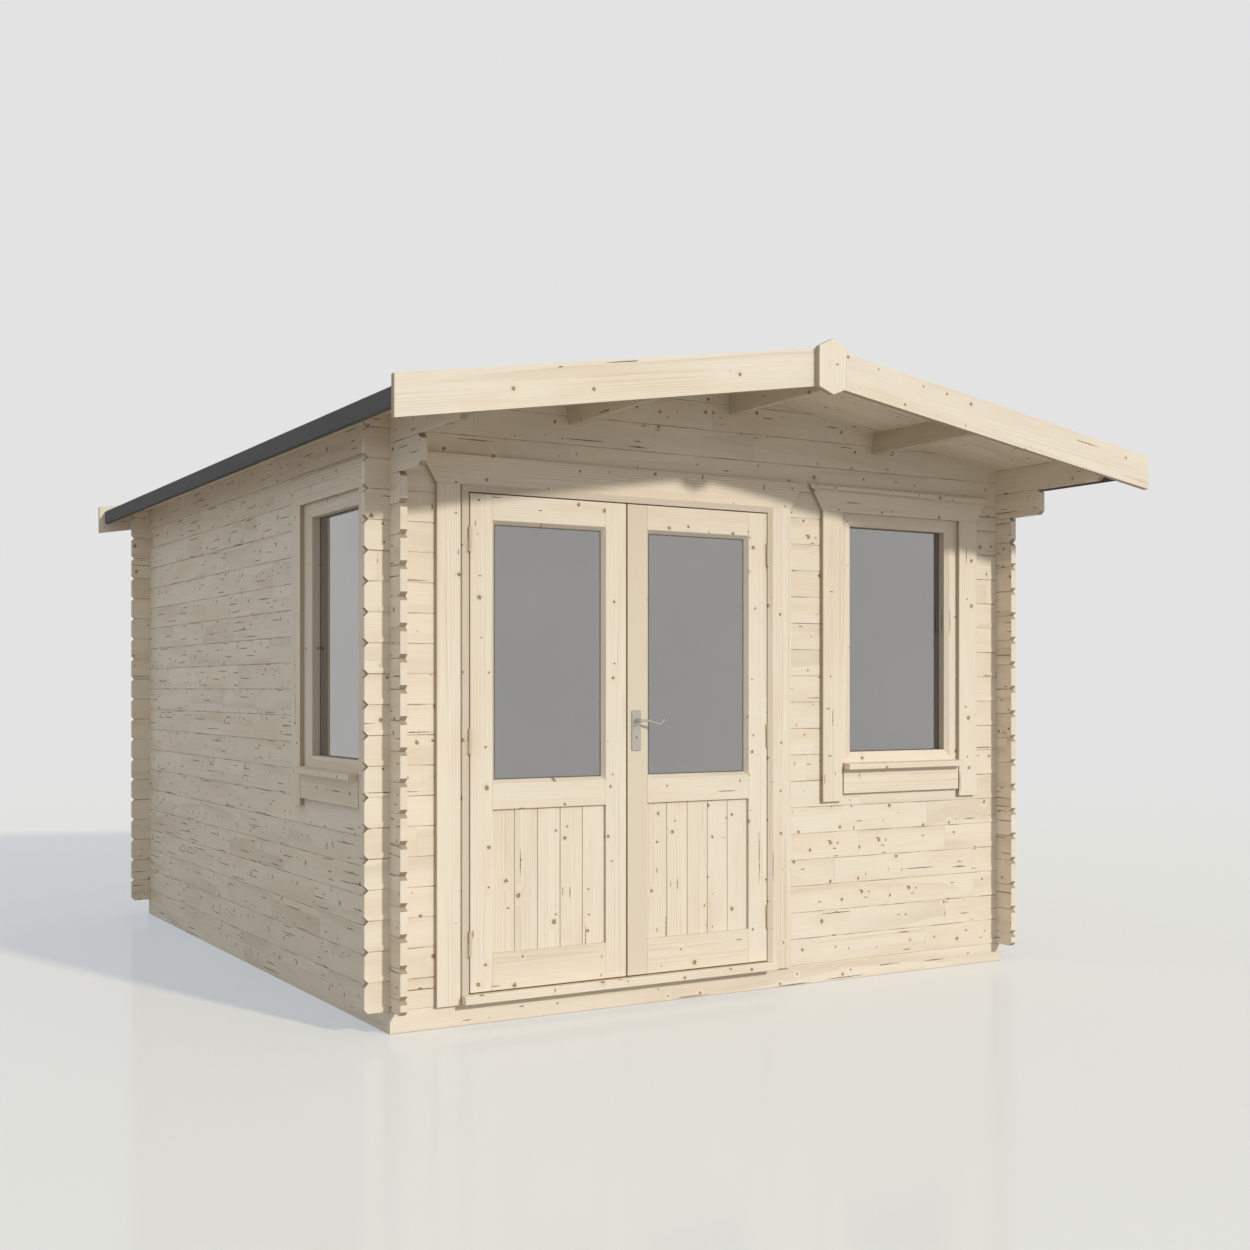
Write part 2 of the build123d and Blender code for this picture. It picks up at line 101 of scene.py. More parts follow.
def vector_calc(tree, operation, *feeds):
    """The output of one Vector Math node."""
    return add_node(tree, "VectorMath", dict(enumerate(feeds)), operation=operation).outputs[0]


def far_from_zero(tree, first, second):
    """How far a place is from zero, from its two coordinates."""
    squares = [calc(tree, "MULTIPLY", value, value) for value in (first, second)]
    return calc(tree, "SQRT", calc(tree, "ADD", *squares))


def smooth_step(tree, value, start, end, low=0.0, high=1.0):
    """A value that eases from low at start to high at end."""
    feeds = {"Value": value, "From Min": start, "From Max": end, "To Min": low, "To Max": high}
    return add_node(tree, "MapRange", feeds, interpolation_type="SMOOTHSTEP").outputs["Result"]


def noise(tree, place, scale, detail):
    """A cloudy value between 0 and 1."""
    return add_node(tree, "TexNoise", {"Vector": place, "Scale": scale, "Detail": detail}).outputs[0]


def mix_colour(tree, share, first, second, blend_type="MIX"):
    """One colour mixed into another."""
    node = add_node(tree, "Mix", {0: share, 6: first, 7: second}, data_type="RGBA", blend_type=blend_type)
    return node.outputs[2]


def bump(tree, height, distance, strength):
    """A normal that a height leans."""
    return add_node(tree, "Bump", {"Height": height, "Distance": distance, "Strength": strength}).outputs[0]


def object_place(tree):
    """A place on a piece, in metres."""
    return add_node(tree, "TexCoord").outputs["Object"]


def new_material(name):
    """A material, its tree and its Principled shader."""
    material = bpy.data.materials.new(name)
    material.use_nodes = True
    return material, material.node_tree, material.node_tree.nodes["Principled BSDF"]


def new_group(name, inputs, outputs):
    """An empty node group with named sockets: its tree, what comes in, and its output node."""
    group = bpy.data.node_groups.new(name, "ShaderNodeTree")
    for socket, kind, start in inputs:
        made = group.interface.new_socket(name=socket, in_out="INPUT", socket_type="NodeSocket" + kind)
        if start is not None:
            made.default_value = start
    for socket, kind in outputs:
        group.interface.new_socket(name=socket, in_out="OUTPUT", socket_type="NodeSocket" + kind)
    return group, group.nodes.new("NodeGroupInput").outputs, group.nodes.new("NodeGroupOutput")


# %% [markdown]
# Planed spruce is what nearly all of the cabin is made of. Seen on a flat face, its grain is the growth rings
# of the tree, cut lengthwise. So the pattern is built as the tree is: rings at a steady spacing round a pith
# that runs along the board, swayed a little, cut by the board's own faces. Ends then show rings by
# themselves. The Grain input is a place in the board: X along it, Y across and Z away from the pith. Knots,
# Splits and Contrast say how many marks show and how clear the rings are, and Rings how far apart those are.
# Length is how long one piece of timber is, Tone how light it is, and Vary how much its lengths differ.
# Three more inputs paint shade into the colour: one draws shadow in the joints between logs, one marks a
# board's sides and end bevels, and one says how dark those get.

# %% Lengths of timber
tree_length = 10.0
ring_step = 0.0065
length_shift = (3.0, 0.03, 0.02)
stretch = (0.6, 5.0, 5.0)
sway_reach = (0.0, 0.020, 0.020)

usual = {"Length": tree_length, "Knots": 0.5, "Splits": 0.1, "Contrast": 1.0, "Seam": 0.0, "Edge": 0.0,
         "Sawn": 0.0, "Tone": 1.0, "Vary": 0.03, "Rings": ring_step, "Marks": 1.0}
spruce, asked, wood_out = new_group(
    "spruce", [("Grain", "Vector", None)] + [(name, "Float", amount) for name, amount in usual.items()],
    [("Color", "Color"), ("Roughness", "Float"), ("Height", "Float")])
place = add_node(spruce, "SeparateXYZ", {0: asked["Grain"]}).outputs
drift = add_node(spruce, "TexNoise", {"W": place[0], "Scale": 1.3, "Detail": 0.0}, noise_dimensions="1D")
along = calc(spruce, "MULTIPLY_ADD", drift.outputs[0], 0.5, place[0])
length_number = calc(spruce, "FLOOR", calc(spruce, "DIVIDE", along, asked["Length"]))
length_dice = add_node(spruce, "TexWhiteNoise", {"W": length_number}, noise_dimensions="1D").outputs["Color"]
dice = add_node(spruce, "SeparateColor", {0: length_dice}).outputs
board = vector_calc(spruce, "ADD", asked["Grain"], vector_calc(spruce, "MULTIPLY", length_dice, length_shift))
stretched = vector_calc(spruce, "MULTIPLY", board, stretch)
sway = add_node(spruce, "TexNoise", {"Vector": stretched, "Scale": 1.0, "Detail": 1.5}).outputs["Color"]
swayed = vector_calc(spruce, "MULTIPLY_ADD", sway, sway_reach, board)
point = add_node(spruce, "SeparateXYZ", {0: swayed}).outputs
print("spruce: each length of timber has its own rings")

# %% [markdown]
# Knots and splits are single marks at random places. A Voronoi texture in two dimensions gives each cell one
# point and one dice roll, so a mark is drawn by how far a place is from its cell's point, in metres. Width
# and depth are added up for the second dimension, so that a mark passes over a board's edge as a real one
# does.

# %% Scattered marks
ragged = noise(spruce, board, 170.0, 0.0)


def scattered_marks(spot, cell_long, cell_wide):
    """Distances along and across from the nearest mark's middle in metres, and its three dice."""
    run = calc(spruce, "ADD", spot[1], spot[2])
    plan = add_node(spruce, "CombineXYZ", {0: calc(spruce, "DIVIDE", spot[0], cell_long),
                                           1: calc(spruce, "DIVIDE", run, cell_wide)}).outputs[0]
    cells = add_node(spruce, "TexVoronoi", {"Vector": plan, "Scale": 1.0}, voronoi_dimensions="2D").outputs
    away = vector_calc(spruce, "SUBTRACT", plan, cells["Position"])
    away = vector_calc(spruce, "MULTIPLY", away, (cell_long, cell_wide, 0))
    lengths = add_node(spruce, "SeparateXYZ", {0: vector_calc(spruce, "ABSOLUTE", away)}).outputs
    rolls = add_node(spruce, "SeparateColor", {0: cells["Color"]}).outputs
    return lengths[0], lengths[1], rolls


def marks_present(roll, chance_of_one):
    """1 where a mark's dice roll is under its chance, and 0 on end grain."""
    return calc(spruce, "LESS_THAN", roll, calc(spruce, "MULTIPLY", chance_of_one, asked["Marks"]))


# %% Knots
knot_cell = 0.105
knot_least = 0.0033
knot_more = 0.0055
oval = 2.6

board_point = add_node(spruce, "SeparateXYZ", {0: board}).outputs
knot_along, knot_across, knot_dice = scattered_marks(board_point, knot_cell, knot_cell)
knot_along = calc(spruce, "MULTIPLY", knot_along, smooth_step(spruce, knot_dice[2], 0.70, 0.74, 1.0, oval))
knot_reach = calc(spruce, "MULTIPLY", far_from_zero(spruce, knot_along, knot_across),
                  calc(spruce, "MULTIPLY_ADD", ragged, 0.8, 0.6))
knot_here = marks_present(knot_dice[1], asked["Knots"])
knot_size = calc(spruce, "MULTIPLY_ADD", calc(spruce, "POWER", knot_dice[0], 2.0), knot_more, knot_least)


def knot_share(inner, outer):
    """1 inside a knot's own radius times inner, 0 past its radius times outer."""
    return smooth_step(spruce, knot_reach, calc(spruce, "MULTIPLY", knot_size, outer),
                       calc(spruce, "MULTIPLY", knot_size, inner))


knot_mask = calc(spruce, "MULTIPLY", knot_here, knot_share(0.85, 1.15))
heart_mask = knot_share(0.40, 0.90)
halo_mask = calc(spruce, "MULTIPLY", knot_here, knot_share(1.0, 3.2))
push = calc(spruce, "MULTIPLY", calc(spruce, "MULTIPLY", knot_here, knot_share(1.0, 5.0)),
            calc(spruce, "MULTIPLY", knot_size, 1.7))
big_knot = smooth_step(spruce, knot_size, 0.0040, 0.0075)
print("knots:", 2 * knot_least, "to", 2 * (knot_least + knot_more), "m across, up to one in", knot_cell, "m")

# %% Splits
split_long = 0.26
split_wide = 0.036
split_least = 0.012
split_more = 0.120

split_along, split_across, split_dice = scattered_marks(point, split_long, split_wide)
dry = smooth_step(spruce, noise(spruce, stretched, 2.6, 1.0), 0.38, 0.62, 0.25, 1.5)
split_here = marks_present(split_dice[0], calc(spruce, "MULTIPLY", asked["Splits"], dry))
split_end = calc(spruce, "MULTIPLY_ADD", calc(spruce, "POWER", split_dice[1], 3.0), split_more, split_least)
split_reach = calc(spruce, "POWER", calc(spruce, "DIVIDE", split_along, split_end), 2.0)
split_taper = calc(spruce, "MAXIMUM", calc(spruce, "SUBTRACT", 1.0, split_reach), 0.001)
split_half = calc(spruce, "MULTIPLY", split_taper, calc(spruce, "MULTIPLY_ADD", ragged, 0.0052, 0.0003))
split_line = smooth_step(spruce, split_across, split_half, calc(spruce, "MULTIPLY", split_half, 0.4))
split_mask = calc(spruce, "MULTIPLY", split_here, split_line)
joint_far = calc(spruce, "PINGPONG", along, calc(spruce, "MULTIPLY", asked["Length"], 0.5))
joint_mask = smooth_step(spruce, joint_far, 0.0016, 0.0004)
print("splits: up to", 2 * (split_more + split_least), "m long")

# %% Rings and fibres
radius = far_from_zero(spruce, point[1], point[2])
ring = calc(spruce, "FRACT", calc(spruce, "DIVIDE", calc(spruce, "ADD", radius, push), asked["Rings"]))
late_wood = calc(spruce, "MULTIPLY", smooth_step(spruce, ring, 0.45, 0.92),
                 smooth_step(spruce, ring, 1.0, 0.95))
clear = smooth_step(spruce, noise(spruce, stretched, 1.7, 1.0), 0.36, 0.60, 0.15, 1.0)
show_rings = calc(spruce, "MULTIPLY", late_wood, clear)
fibre = noise(spruce, vector_calc(spruce, "MULTIPLY", board, (6.0, 420.0, 420.0)), 1.0, 1.0)
print("rings", ring_step, "m apart where a material says nothing else")

# %% Spruce colour
mark_brown = (0.15, 0.09, 0.05, 1)

early_wood = mix_colour(spruce, dice[0], (0.835, 0.75, 0.61, 1), (0.825, 0.735, 0.58, 1))
stain = noise(spruce, vector_calc(spruce, "MULTIPLY", board, (1.6, 9.0, 9.0)), 1.0, 2.0)
stain_share = calc(spruce, "MAXIMUM", smooth_step(spruce, stain, 0.45, 0.75, 0.0, 0.35),
                   calc(spruce, "MULTIPLY", halo_mask, 0.45))
stained = mix_colour(spruce, stain_share, early_wood, (0.74, 0.585, 0.40, 1))
ring_share = calc(spruce, "MULTIPLY", show_rings, asked["Contrast"])
ringed = mix_colour(spruce, calc(spruce, "MULTIPLY", ring_share, 0.60), stained, (0.50, 0.36, 0.22, 1))
fibre_tone = smooth_step(spruce, fibre, 0.25, 0.75, 0.965, 1.035)
length_tone = calc(spruce, "MULTIPLY_ADD", calc(spruce, "SUBTRACT", dice[1], 0.5),
                   asked["Vary"], asked["Tone"])
length_tone = calc(spruce, "MULTIPLY", length_tone, fibre_tone)
toned = mix_colour(spruce, 1.0, ringed, length_tone, "MULTIPLY")
knot_heart = mix_colour(spruce, big_knot, mark_brown, (0.37, 0.225, 0.135, 1))
knot_colour = mix_colour(spruce, heart_mask, (0.14, 0.08, 0.045, 1), knot_heart)
knotted = mix_colour(spruce, calc(spruce, "MULTIPLY", knot_mask, 0.88), toned, knot_colour)
# Painted shade: a board's sides and end bevels turn dark brown, standing for the shadow in the crevices
# beside them.
edge_shade_share = calc(spruce, "MULTIPLY", asked["Edge"], asked["Sawn"])
edge_shaded = mix_colour(spruce, edge_shade_share, knotted, (0.27, 0.19, 0.115, 1))
# Splits are real cracks; the seam line is painted shadow in the joint between two logs.
dark_share = calc(spruce, "MAXIMUM", calc(spruce, "MULTIPLY", split_mask, 0.90),
                  calc(spruce, "MAXIMUM", calc(spruce, "MULTIPLY", joint_mask, 0.13),
                       calc(spruce, "MULTIPLY", asked["Seam"], 0.62)))
raised = calc(spruce, "MULTIPLY_ADD", fibre, 0.12, calc(spruce, "MULTIPLY", show_rings, 0.10))
sunken = calc(spruce, "MULTIPLY_ADD", dark_share, -1.0, calc(spruce, "MULTIPLY", knot_mask, -0.2))
feed(spruce, wood_out, {"Color": mix_colour(spruce, dark_share, edge_shaded, mark_brown),
                        "Roughness": smooth_step(spruce, fibre, 0.2, 0.8, 0.66, 0.54),
                        "Height": calc(spruce, "ADD", raised, sunken)})
print("spruce group:", len(spruce.nodes), "nodes")

# %% [markdown]
# Every wooden material is the spruce group between a source of Grain and a Principled shader. Boards that are
# modelled below carry their own Grain in an attribute, so that no two look cut from the same place. A second
# attribute, edge, is 1 on the sawn sides of a board, and the material paints shade there, darker than its
# face.

# %% Wood materials for boards
def written_grain(tree):
    """Grain and Edge from the attributes that each board carries."""
    return {"Grain": add_node(tree, "Attribute", attribute_name="grain").outputs["Vector"],
            "Edge": add_node(tree, "Attribute", attribute_name="edge").outputs["Fac"]}


def wood_material(name, source=written_grain, **amounts):
    """A material that shows spruce, with its Grain from a source and its own amounts of each mark."""
    material, tree, shader = new_material(name)
    wood = add_node(tree, "Group", {**source(tree), **amounts}, node_tree=spruce).outputs
    feed(tree, shader, {"Base Color": wood["Color"], "Roughness": wood["Roughness"],
                        "Normal": bump(tree, wood["Height"], 0.001, 0.6), "Specular IOR Level": 0.35})
    return material


joinery_wood = wood_material("joinery_spruce", Knots=0.5, Splits=0.08, Contrast=0.4, Sawn=0.3, Tone=0.985)
trim_wood = wood_material("trim_spruce", Knots=0.35, Splits=0.06, Contrast=0.45, Sawn=0.6)
header_wood = wood_material("header_spruce", Knots=0.6, Splits=0.06, Sawn=0.6, Rings=0.0085)
shelf_wood = wood_material("shelf_spruce", Knots=0.4, Splits=0.06, Contrast=0.5)
roof_wood = wood_material("roof_spruce", Knots=0.6, Splits=0.10, Contrast=0.5)
floor_wood = wood_material("floor_spruce", Knots=0.5, Splits=0.08, Contrast=0.5)
print("board materials: joinery, trims, headers, sills, roof, floor")

# %% [markdown]
# The logs are the frame's own pieces, because their notches and bevelled ends are already exact. Their Grain
# is worked out from Object coordinates: the course a point lies in is its height over the base divided by a
# log's height, and a dice roll for each course moves that log to another part of the tree. Where two logs
# meet, shadow is painted in: a dark line along the joint that comes and goes. The bevels at the logs' ends
# are
# sawn, not planed, and normals find them: they are the faces that lean along the log. Their darker colour is
# painted shade. End grain has no knots or splits. Single timbers use the same group with one course that is
# taller than they are.

# %% Log materials
log_h = 0.114
base_h = 0.084
base_course = 0.2
tall_course = 3.0
log_shift = (37.0, 0.10, 0.05)
pith_shift = (0.0, -0.05, 0.02)

log_grain, log_at, log_out = new_group(
    "log_grain", [(name, "Float", 0.0) for name in ("Along", "Depth", "Up", "First", "Course", "Seed")],
    [("Grain", "Vector"), ("Seam", "Float")])
over_first = calc(log_grain, "SUBTRACT", log_at["Up"], log_at["First"])
courses = calc(log_grain, "DIVIDE", over_first, log_at["Course"])
course = calc(log_grain, "FLOOR", courses)
off_middle = calc(log_grain, "SUBTRACT", calc(log_grain, "SUBTRACT", courses, course), 0.5)
across = calc(log_grain, "MULTIPLY", off_middle, log_at["Course"])
log_key = add_node(log_grain, "CombineXYZ", {0: course, 1: log_at["Seed"]}).outputs[0]
roll = add_node(log_grain, "TexWhiteNoise", {"Vector": log_key}, noise_dimensions="3D").outputs["Color"]
local = add_node(log_grain, "CombineXYZ", {0: log_at["Along"], 1: across, 2: log_at["Depth"]}).outputs[0]
moved = vector_calc(log_grain, "MULTIPLY_ADD", roll, log_shift, local)
# Painted shadow in the joint between two logs: a thin dark line along it, wider and darker in some places
# than in others.
seam_shade_place = calc(log_grain, "MULTIPLY_ADD", calc(log_grain, "ROUND", courses), 7.3, log_at["Along"])
seam_shade_vary = add_node(log_grain, "TexNoise", {"W": seam_shade_place, "Scale": 5.0, "Detail": 3.0},
                     noise_dimensions="1D").outputs[0]
seam_shade_half = smooth_step(log_grain, seam_shade_vary, 0.35, 0.75, 0.0006, 0.0024)
seam_shade_depth = smooth_step(log_grain, seam_shade_vary, 0.36, 0.62, 0.40, 1.0)
from_seam = calc(log_grain, "SUBTRACT", calc(log_grain, "MULTIPLY", log_at["Course"], 0.5),
                 calc(log_grain, "ABSOLUTE", across))
seam_shade_line = smooth_step(log_grain, from_seam, seam_shade_half, calc(log_grain, "MULTIPLY", seam_shade_half, 0.3))
feed(log_grain, log_out, {"Grain": vector_calc(log_grain, "ADD", moved, pith_shift),
                          "Seam": calc(log_grain, "MULTIPLY", seam_shade_line, seam_shade_depth)})


def object_grain(axis, first, course_h, seed, shaded_seams=False):
    """A source of Grain for a frame piece whose timber runs along X, Y or Z."""
    def source(tree):
        coords = add_node(tree, "TexCoord").outputs
        x, y, z = add_node(tree, "SeparateXYZ", {0: coords["Object"]}).outputs
        facing = add_node(tree, "SeparateXYZ", {0: coords["Normal"]}).outputs["XYZ".index(axis)]
        lean = calc(tree, "ABSOLUTE", facing)
        planed = smooth_step(tree, lean, 0.95, 0.85)
        side = calc(tree, "MULTIPLY", calc(tree, "SIGN", x if axis == "Y" else y), 5.0)
        along, depth, up = {"X": (x, y, z), "Y": (y, x, z), "Z": (z, y, x)}[axis]
        place = {"Along": along, "Depth": depth, "Up": up, "First": first, "Course": course_h,
                 "Seed": calc(tree, "ADD", side, seed)}
        grain = add_node(tree, "Group", place, node_tree=log_grain).outputs
        # The leaning faces are the end bevels, where the material paints shade.
        feeds = {"Grain": grain["Grain"], "Marks": planed,
                 "Edge": calc(tree, "MULTIPLY", smooth_step(tree, lean, 0.2, 0.4), planed)}
        if shaded_seams:
            feeds["Seam"] = grain["Seam"]
        return feeds
    return source


cross_grain = object_grain("X", base_h, log_h, 1.0, shaded_seams=True)
cross_log_wood = wood_material("cross_log_spruce", cross_grain, Length=0.62, Knots=0.6, Splits=0.2,
                               Contrast=0.4, Vary=0.04, Sawn=0.7)
side_grain = object_grain("Y", base_h - log_h / 2, log_h, 2.0, shaded_seams=True)
side_log_wood = wood_material("side_log_spruce", side_grain, Length=0.62, Knots=0.6, Splits=0.8,
                              Contrast=0.45, Vary=0.07, Sawn=0.7)
base_cross_wood = wood_material("base_cross_spruce", object_grain("X", 0.0, base_course, 3.0),
                                Knots=0.5, Splits=0.35, Contrast=0.5)
base_side_wood = wood_material("base_side_spruce", object_grain("Y", 0.0, base_course, 4.0),
                               Knots=0.5, Splits=0.35, Contrast=0.5)
# The purlins are toned darker, which paints in the shade they stand in under the roof.
shaded_purlin_wood = wood_material("purlin_spruce_painted_shade", object_grain("Y", 0.0, tall_course, 5.0),
                            Knots=0.5, Splits=0.3, Contrast=0.7, Tone=0.8)
sill_wood = wood_material("door_sill_spruce", object_grain("X", 0.0, tall_course, 6.0),
                          Knots=0.4, Splits=0.1, Contrast=0.6)


def dress(material, *names):
    """Give frame pieces a better material."""
    for name in names:
        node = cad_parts[name]
        node.data.materials.clear()
        node.data.materials.append(material)


for material, walls in ((cross_log_wood, ("front", "rear")), (side_log_wood, ("left", "right"))):
    for wall in walls:
        dress(material, wall + "_wall_even_logs", wall + "_wall_odd_logs")
dress(base_cross_wood, "front_rear_base_logs")
dress(base_side_wood, "side_base_logs", "floor_bearers")
dress(shaded_purlin_wood, "purlins")
dress(sill_wood, "door_sill")
print("logs, base, purlins and door sill dressed")

# %% [markdown]
# Boards are made as a joiner makes them. One starts as a cube primitive stretched to its size, flat on a
# bench: length along X, width along Y, face up. Saw cuts are bisect operations with the cut face filled, and
# a Bevel modifier breaks the sharp edges. Its Grain attribute is written on the bench, where place in the
# board and place in space are the same. Last, a matrix carries it to its place, and the place goes into the
# mesh.

# %% Helpers for boards
softened_edge = 0.0015


def mesh_operator(piece, operator, **settings):
    """Run one edit-mode operator on all of a piece."""
    bpy.context.view_layer.objects.active = piece
    bpy.ops.object.mode_set(mode="EDIT")
    bpy.ops.mesh.select_all(action="SELECT")
    operator(**settings)
    bpy.ops.object.mode_set(mode="OBJECT")


def bench_board(length, width, thickness, cuts=(), soften=softened_edge):
    """One board on the bench, sawn along planes given as a point and the way out, and softened."""
    bpy.ops.object.select_all(action="DESELECT")
    bpy.ops.mesh.primitive_cube_add(size=1, scale=(length, width, thickness))
    piece = bpy.context.object
    bpy.ops.object.transform_apply(location=True, rotation=True, scale=True)
    for point, outward in cuts:
        mesh_operator(piece, bpy.ops.mesh.bisect, plane_co=point, plane_no=outward, use_fill=True,
                      clear_outer=True)
    if soften:
        edge = piece.modifiers.new("softened_edges", "BEVEL")
        edge.width = soften
        edge.segments = 2
        edge.limit_method = "ANGLE"
        bpy.ops.object.modifier_apply(modifier=edge.name)
    write_grain(piece)
    return piece


def write_grain(piece):
    """Store each point's place in the board, moved to a random tree, and mark sides for painted shade."""
    move = Vector((tree_length * (chance.randint(1, 400) + 0.5), chance.uniform(-0.045, 0.045),
                   chance.uniform(0.015, 0.075)))
    grain = piece.data.attributes.get("grain") or piece.data.attributes.new("grain", "FLOAT_VECTOR", "POINT")
    for vertex, value in zip(piece.data.vertices, grain.data):
        value.vector = vertex.co + move
    edge = piece.data.attributes.get("edge") or piece.data.attributes.new("edge", "FLOAT", "FACE")
    for polygon, share in zip(piece.data.polygons, edge.data):
        share.value = max(0.0, 1 - 1.25 * abs(polygon.normal.z))


def carry(piece, centre, along, face):
    """Move a board from the bench to its place, with its length along one way and its face another."""
    along = Vector(along).normalized()
    face = Vector(face).normalized()
    turn = Matrix((along, face.cross(along), face)).transposed().to_4x4()
    piece.data.transform(Matrix.Translation(centre) @ turn)
    return piece


def board_between(low, high, along, face, cuts=(), soften=softened_edge):
    """A board that fills the box between two corners."""
    low = Vector(low)
    high = Vector(high)
    along = Vector(along)
    face = Vector(face)
    size = high - low
    lengths = [abs(size.dot(way)) for way in (along, face.cross(along), face)]
    return carry(bench_board(*lengths, cuts=cuts, soften=soften), (low + high) / 2, along, face)


def assemble(name, pieces, body, material, slot, *nodes):
    """Join boards into one piece that rides on a body and stands for frame pieces."""
    bpy.ops.object.select_all(action="DESELECT")
    for piece in pieces:
        piece.select_set(True)
    bpy.context.view_layer.objects.active = pieces[0]
    if len(pieces) > 1:
        bpy.ops.object.join()
    whole = bpy.context.object
    whole.name = name
    whole.data.name = name
    whole.data.materials.clear()
    whole.data.materials.append(material)
    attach(whole, body)
    if nodes:
        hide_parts(*nodes)
    print(name, "of", len(pieces), "boards,", len(whole.data.polygons), "faces")
    return whole


X = Vector((1, 0, 0))
Y = Vector((0, 1, 0))
Z = Vector((0, 0, 1))


def separate_boxes(name):
    """The boxes of a frame piece's separate solids, found by walking its edges."""
    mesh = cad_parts[name].data
    keys = [tuple(round(c, 5) for c in vertex.co) for vertex in mesh.vertices]
    parent = {key: key for key in keys}

    def root(key):
        while parent[key] != key:
            key = parent[key]
        return key

    for edge in mesh.edges:
        a, b = (root(keys[i]) for i in edge.vertices)
        parent[a] = b
    groups = {}
    for key in parent:
        groups.setdefault(root(key), []).append(key)
    boxes = []
    for points in groups.values():
        boxes.append(tuple(Vector([end(axis) for axis in zip(*points)]) for end in (min, max)))
    return sorted(boxes, key=lambda box: tuple(box[0]))


# %% [markdown]
# Boards that are plain boxes follow straight from the frame: each solid of a node gives one box, and the
# longest side of the box is the way its timber runs.

# %% Plain boards
def boards_for(name, body, material, slot):
    """Dress every solid of a node as a plain board."""
    pieces = []
    for low, high in separate_boxes(name):
        size = high - low
        order = sorted((X, Y, Z), key=lambda way: size.dot(way))
        pieces.append(board_between(low, high, order[2], order[0]))
    return assemble(name + "_boards", pieces, body, material, slot, name)


for label in ("left", "right"):
    boards_for(label + "_door_rails", label + "_door", joinery_wood, "joinery_wood")
for name in ("door_jambs", "door_head", "door_stops"):
    boards_for(name, "cabin", joinery_wood, "joinery_wood")
for name in ("door_trims", "window_trims", "window_aprons"):
    boards_for(name, "cabin", trim_wood, "trim_wood")


# %% [markdown]
# A window sill sheds water: its top falls a little towards its outer edge, and its ends run past the window.
# It is a board with one shallow saw cut along its top.

# %% Window sills
sill_fall = 0.003


def outside(low, high):
    """The way a window's piece looks out: to the front, or to the left from the side wall."""
    return -Y if high.x - low.x > high.y - low.y else -X


sills = []
for low, high in separate_boxes("window_sills"):
    outward = outside(low, high)
    size = high - low
    reach = abs(size.dot(outward))
    length = abs(size.dot(Z.cross(outward)))
    slope = [(Vector((0, -reach / 2, size.z / 2)), Vector((0, sill_fall, reach)))]
    sills.append(carry(bench_board(length, reach, size.z, cuts=slope), (low + high) / 2, outward.cross(Z), Z))
assemble("window_sill_boards", sills, "cabin", shelf_wood, "trim_wood", "window_sills")

# %% [markdown]
# The stiles are the tall boards of each leaf. The one that carries the handle is bored through for the
# spindle and the key, with cylinders taken away by Boolean modifiers.

# %% Door stiles
spindle_r = 0.006
key_r = 0.0035
lever_over_middle = 0.039
key_under_lever = 0.066

plates_low, plates_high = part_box("handle_plates")
plates_x = (plates_low.x + plates_high.x) / 2
lever_up = (plates_low.z + plates_high.z) / 2 + lever_over_middle
bores = ((lever_up, spindle_r), (lever_up - key_under_lever, key_r))


def bore(piece, x, z, radius):
    """Drill through a piece along Y."""
    middle = sum(vertex.co.y for vertex in piece.data.vertices) / len(piece.data.vertices)
    bpy.ops.object.select_all(action="DESELECT")
    bpy.ops.mesh.primitive_cylinder_add(vertices=24, radius=radius, depth=0.2, location=(x, middle, z),
                                        rotation=(math.radians(90), 0, 0))
    drill = bpy.context.object
    cut = piece.modifiers.new("bore", "BOOLEAN")
    cut.operation = "DIFFERENCE"
    cut.object = drill
    bpy.context.view_layer.objects.active = piece
    bpy.ops.object.modifier_apply(modifier=cut.name)
    bpy.data.objects.remove(drill)


for label in ("left", "right"):
    stiles = []
    for low, high in separate_boxes(label + "_door_stiles"):
        stile = board_between(low, high, Z, -Y)
        if low.x < plates_x < high.x:
            for z, radius in bores:
                bore(stile, plates_x, z, radius)
        stiles.append(stile)
    assemble(label + "_door_stile_boards", stiles, label + "_door", joinery_wood, "joinery_wood",
             label + "_door_stiles")


# %% [markdown]
# Below the glass each leaf has a panel of five narrow boards, joined with V grooves. The long edges of each
# board are bevelled, two bevels side by side make the V, and the boards stand a hair apart, which is the dark
# line at its bottom. A thin board behind them, the tongues of the real joint, closes that gap.

# %% Door panels
panel_boards = 5
panel_groove = 0.0028
panel_gap = 0.0014
tongue = 0.009
half_tongue_t = 0.002

for label in ("left", "right"):
    low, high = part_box(label + "_door_panel")
    step = (high.x - low.x - 2 * tongue) / panel_boards
    behind = (low.y + high.y) / 2
    pieces = [board_between((low.x, behind - half_tongue_t, low.z), (high.x, behind + half_tongue_t, high.z),
                            Z, -Y, soften=0)]
    for i in range(panel_boards):
        x0 = low.x + tongue + i * step + panel_gap / 2
        x1 = x0 + step - panel_gap
        if i == 0:
            x0 = low.x
        if i == panel_boards - 1:
            x1 = high.x
        pieces.append(board_between((x0, low.y, low.z), (x1, high.y, high.z), Z, -Y, soften=panel_groove))
    assemble(label + "_door_panel_boards", pieces, label + "_door", joinery_wood, "joinery_wood",
             label + "_door_panel")


# %% [markdown]
# A glazing bead is a small strip mitred at its corners, with its inner edge sloped to the glass. Each is sawn
# from a square strip: two 45 degree cuts in plan for the mitres, and one long sloping cut.

# %% Glazing beads
bead_w = 0.014
bead_face = 0.004


